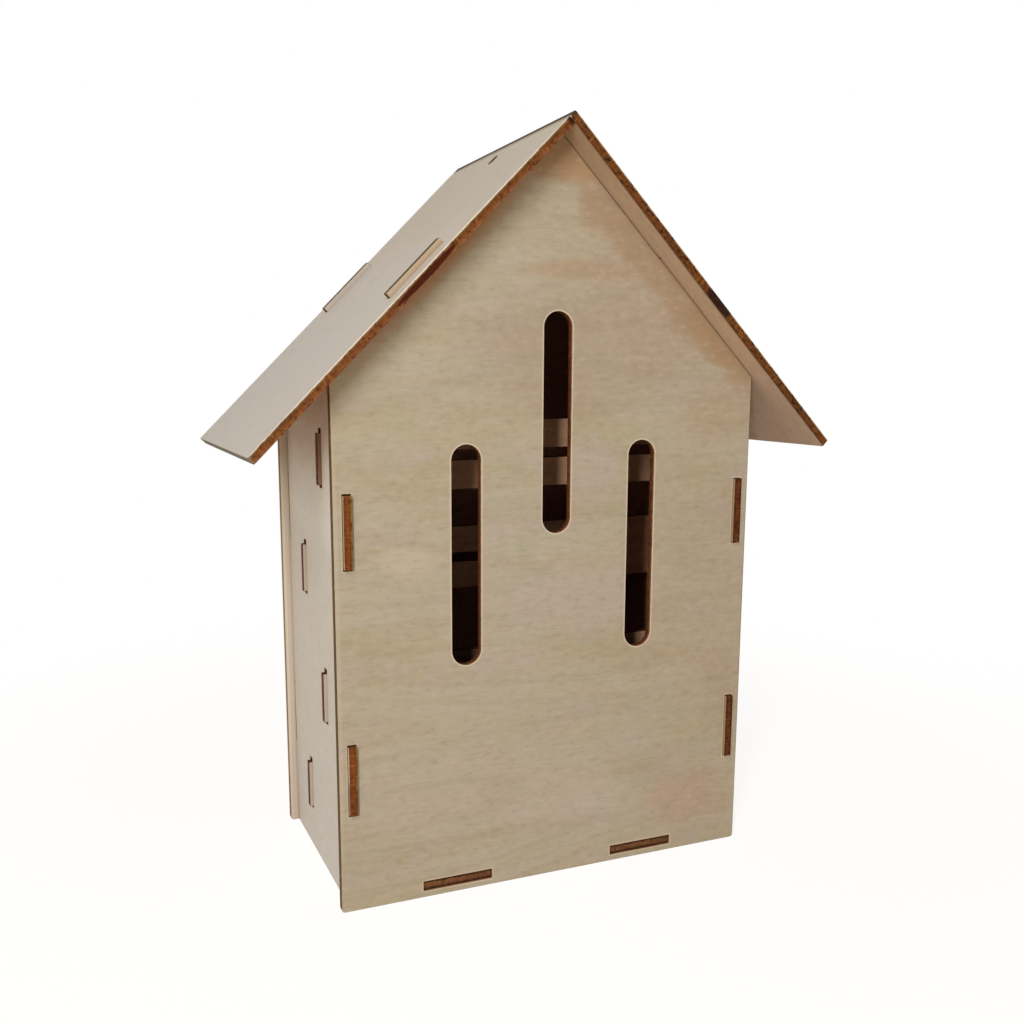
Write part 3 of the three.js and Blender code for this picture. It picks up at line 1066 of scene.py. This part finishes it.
@dataclass
class SideWalls:
    """The two side panels: tabs front and back, and slots for the slats' ends.

    The slots lie at slot_y from the wall's middle, and slot_rise gives their ends from the slat's middle.
    """

    outer_x: float = 71.85
    height: float = 170.0
    tab_tip: float = 41.2
    slot_y: Point = (11.183, 14.583)
    slot_rise: Point = (-9.3, 9.9)

    def build(self) -> None:
        """Makes the left panel and its mirror image."""
        left = PlySheet("side_wall_left", (-HALF_ROOM, 0.0), (HALF_ROOM, self.height))
        reach = self.tab_tip - HALF_ROOM
        for low, high in WALL_TABS_Z:
            left.pull_tab((-HALF_ROOM, low), (-HALF_ROOM, high), reach)
            left.pull_tab((HALF_ROOM, high), (HALF_ROOM, low), reach)
        left.clean_faces()
        # The rear row is on the bench's left side, and the rows take turns from the lowest slat up.
        near, far = self.slot_y
        rows = ((-far, -near), (near, far)) * 2
        left.cut([Hole((start, z + self.slot_rise[0]), (end, z + self.slot_rise[1]))
                  for (start, end), z in zip(rows, SLATS_Z)])
        right = left.copy("side_wall_right", other_hand=True)
        for wall, node, facing, x, dress, seed in (
                (left, "left_side_panel", Facing.LEFT, -self.outer_x, LEFT_WALL, 17.0),
                (right, "right_side_panel", Facing.RIGHT, self.outer_x, RIGHT_WALL, 23.0)):
            finish_sheet(wall, node, Seat(facing, (x, 0.0, 0.0)), dress, seed)


@dataclass
class FloorPanel:
    """The floor, with two tabs front and two back."""

    half_width: float = 68.85
    underside: float = 2.5
    tab_tip: float = 39.5
    tab_x: Point = (23.05, 46.95)

    def build(self) -> None:
        """Makes the floor."""
        floor = PlySheet("floor_panel", (-self.half_width, -HALF_ROOM), (self.half_width, HALF_ROOM))
        reach = self.tab_tip - HALF_ROOM
        for side in (-1, 1):
            low, high = sorted(side * x for x in self.tab_x)
            floor.pull_tab((high, -HALF_ROOM), (low, -HALF_ROOM), reach)
            floor.pull_tab((low, HALF_ROOM), (high, HALF_ROOM), reach)
        floor.clean_faces()
        seat = Seat(Facing.DOWN, (0.0, 0.0, self.underside))
        finish_sheet(floor, "base_panel", seat, FLOOR, 29.0)


@dataclass
class RoostSlats:
    """Four level slats in two rows, each with a long slot for claws along its middle."""

    half_length: float = 68.85
    half_height: float = 11.7
    tab_tip: float = 73.05
    tab_half_height: float = 8.4
    grip_corner: Point = (54.05, 1.7)
    rear_y: float = 11.533
    front_y: float = -14.233

    def build(self) -> None:
        """Makes one slat and copies it to the other three places."""
        end, tab = self.half_length, self.tab_half_height
        first = PlySheet("roost_slat_lowest", (-end, -self.half_height), (end, self.half_height))
        first.pull_tab((-end, -tab), (-end, tab), self.tab_tip - end)
        first.pull_tab((end, tab), (end, -tab), self.tab_tip - end)
        first.clean_faces()
        first.cut([Hole(tuple(-v for v in self.grip_corner), self.grip_corner, rounded=True)])
        slats = [first] + [first.copy(f"roost_slat_{word}") for word in ("second", "third", "top")]
        seats = [Seat(Facing.FRONT, (0.0, y, z)) for y, z in zip((self.rear_y, self.front_y) * 2, SLATS_Z)]
        dresses = (SLAT, SHADED_SECOND_SLAT, SLAT, TOP_SLAT)
        for number, (slat, seat, dress) in enumerate(zip(slats, seats, dresses), start=1):
            finish_sheet(slat, f"roost_slat_{number}", seat, dress, 31.0 + 5 * number)


@dataclass
class Roof:
    """Two panels at a right angle; the right one laps over the left one's upper end.

    Ends and holes are placed by their distance down the slope from the ridge. Of a pair of ends, the first
    is the left panel's.
    """

    ridge_underside: float = 245.424
    lower_end: float = 140.766
    upper_ends: Point = (0.3, -2.7)
    half_depth: float = 50.0
    corner: float = 0.8
    gable_slot_upper: float = 52.05
    gable_slot_lower: Point = (76.3, 75.95)
    gable_slot_y: Point = (36.9, 40.4)
    cord_hole_run: float = 5.7
    cord_hole_radius: float = 2.2

    def build(self) -> None:
        """Makes the two panels, each with its upper end towards the ridge."""
        lift = PLY * math.sqrt(0.5)
        for side, hand, facing, upper, lower, dress, seed in zip(
                (-1, 1), ("left", "right"), (Facing.LEFT_SLOPE, Facing.RIGHT_SLOPE), self.upper_ends,
                self.gable_slot_lower, (LEFT_ROOF, RIGHT_ROOF), (61.0, 71.0)):
            ends, deep = sorted((side * upper, side * self.lower_end)), self.half_depth
            panel = PlySheet(f"roof_slope_{hand}", (ends[0], -deep), (ends[1], deep))
            panel.round_corners([(x, y) for x in ends for y in (-deep, deep)], self.corner)
            near, far = sorted(side * run for run in (self.gable_slot_upper, lower))
            inner, outer = self.gable_slot_y
            cord, wide = side * self.cord_hole_run, self.cord_hole_radius
            panel.cut([Hole((near, inner), (far, outer)), Hole((near, -outer), (far, -inner)),
                       Hole((cord - wide, -wide), (cord + wide, wide), rounded=True)])
            seat = Seat(facing, (side * lift, 0.0, self.ridge_underside + lift))
            finish_sheet(panel, f"roof_panel_{hand}", seat, dress, seed)


@dataclass
class Studio:
    """Pale floor, white surroundings, one tall soft lamp and the camera.

    Angles are in degrees, and clip is in metres. The lamp's bearing is counted from the front to the left,
    and its height from the floor. The sky lights the box by its own strength and colour but shows as plain
    white. The camera sees a veil of white over the floor, which is thinnest near the box and hides the
    shadow's end: its share and its strength start at floor_veil and floor_white, and both are 1 at the far
    end of floor_fade.
    """

    camera_at: Place = (-151.144, -345.668, 171.234)
    camera_yaw: float = 22.361
    camera_pitch: float = 9.665
    lens: float = 36.717
    sensor: float = 36.0
    clip: Point = (0.01, 50.0)
    shift: Point = (0.02654, 0.03851)
    lamp_from: Point = (36.0, 25.0)
    lamp_away: float = 1000.0
    lamp_size: Point = (90.0, 800.0)
    lamp_power: float = 7.1
    lamp_colour: str = "#F7FBFF"
    sky: float = 0.34
    sky_colour: str = "#FFF0E0"
    floor: str = "#F6E2CC"
    floor_veil: float = 0.8
    floor_white: float = 1.12
    floor_fade: Point = (120.0, 420.0)
    floor_side: float = 6000.0
    target: Place = (0.0, 0.0, 120.0)

    def set_camera(self) -> None:
        """Puts the camera where the photograph was taken from."""
        camera = bpy.data.objects.new("camera", bpy.data.cameras.new("camera"))
        bpy.context.scene.collection.objects.link(camera)
        camera.location = [MM * v for v in self.camera_at]
        camera.rotation_euler = (math.radians(90 - self.camera_pitch), 0, -math.radians(self.camera_yaw))
        camera.data.sensor_width = self.sensor
        camera.data.lens = self.lens
        camera.data.shift_x, camera.data.shift_y = self.shift
        camera.data.clip_start, camera.data.clip_end = self.clip
        bpy.context.scene.camera = camera

    def hang_lamp(self) -> None:
        """Hangs the soft lamp up on the left in front."""
        bearing, height = (math.radians(angle) for angle in self.lamp_from)
        level = math.cos(height)
        way = Vector((-math.sin(bearing) * level, -math.cos(bearing) * level, math.sin(height)))
        lamp = bpy.data.objects.new("soft_lamp", bpy.data.lights.new("soft_lamp", "AREA"))
        bpy.context.scene.collection.objects.link(lamp)
        lamp.data.shape, lamp.data.energy = "RECTANGLE", self.lamp_power
        lamp.data.size, lamp.data.size_y = (MM * v for v in self.lamp_size)
        lamp.data.color = linear(self.lamp_colour)[:3]
        lamp.location = Vector(self.target) * MM + way * self.lamp_away * MM
        lamp.rotation_euler = way.to_track_quat("Z", "Y").to_euler()

    @staticmethod
    def _seen_directly(tree: Tree) -> Socket:
        """Adds a test that is 1 for what is seen directly, in a reflection or through glass.

        Args:
            tree: the node tree it goes into.

        Returns:
            The test's result.
        """
        path = add_node(tree, "LightPath")
        seen = path.outputs["Is Camera Ray"]
        for name in ("Is Glossy Ray", "Is Transmission Ray"):
            seen = add_node(tree, "Math", {0: seen, 1: path.outputs[name]}, operation="MAXIMUM").outputs[0]
        return seen

    def fill_sky(self) -> None:
        """Surrounds the box with white, which lights it less than it shows."""
        world = bpy.data.worlds.new("white_surroundings")
        world.use_nodes = True
        tree = world.node_tree
        tree.nodes.clear()
        bpy.context.scene.world = world
        light = add_node(tree, "Background", {"Color": linear(self.sky_colour), "Strength": self.sky})
        white = add_node(tree, "Background", {"Color": linear("#FFFFFF"), "Strength": 1.0})
        mix = add_node(tree, "MixShader", {0: self._seen_directly(tree), 1: light, 2: white})
        add_node(tree, "OutputWorld", {"Surface": mix})

    def lay_floor(self) -> None:
        """Lays the pale floor that the box stands on, with a shadow that fades out to white."""
        bpy.ops.object.select_all(action="DESELECT")
        bpy.ops.mesh.primitive_plane_add(size=self.floor_side * MM, location=(0, 0, 0))
        floor = bpy.context.active_object
        floor.name = "floor"
        material, tree = new_material("matt_cream_paper")
        paper = add_node(tree, "BsdfDiffuse", {"Color": linear(self.floor)})
        place = add_node(tree, "TexCoord").outputs["Object"]
        away = add_node(tree, "VectorMath", {0: place}, operation="LENGTH").outputs["Value"]
        near, far = (MM * v for v in self.floor_fade)
        veil, strength = (add_node(tree, "MapRange", {
            "Value": away, "From Min": near, "From Max": far, "To Min": start, "To Max": 1.0},
            interpolation_type="SMOOTHSTEP") for start in (self.floor_veil, self.floor_white))
        white = add_node(tree, "Emission", {"Color": linear("#FFFFFF"), "Strength": strength})
        share = add_node(tree, "Math", {0: self._seen_directly(tree), 1: veil}, operation="MULTIPLY")
        mix = add_node(tree, "MixShader", {0: share, 1: paper, 2: white})
        add_node(tree, "OutputMaterial", {"Surface": mix})
        floor.data.materials.append(material)

    def build(self) -> None:
        """Sets up the whole studio."""
        bpy.context.scene.view_settings.view_transform = "Standard"
        self.set_camera()
        self.hang_lamp()
        self.fill_sky()
        self.lay_floor()


def main() -> None:
    """Builds the box and the studio."""
    logging.basicConfig(level=logging.INFO, format="%(name)s: %(message)s")
    for part in (GableBoards(), SideWalls(), FloorPanel(), RoostSlats(), Roof(), Studio()):
        part.build()
        LOG.info("%s done", type(part).__name__)


if __name__ == "__main__":
    main()
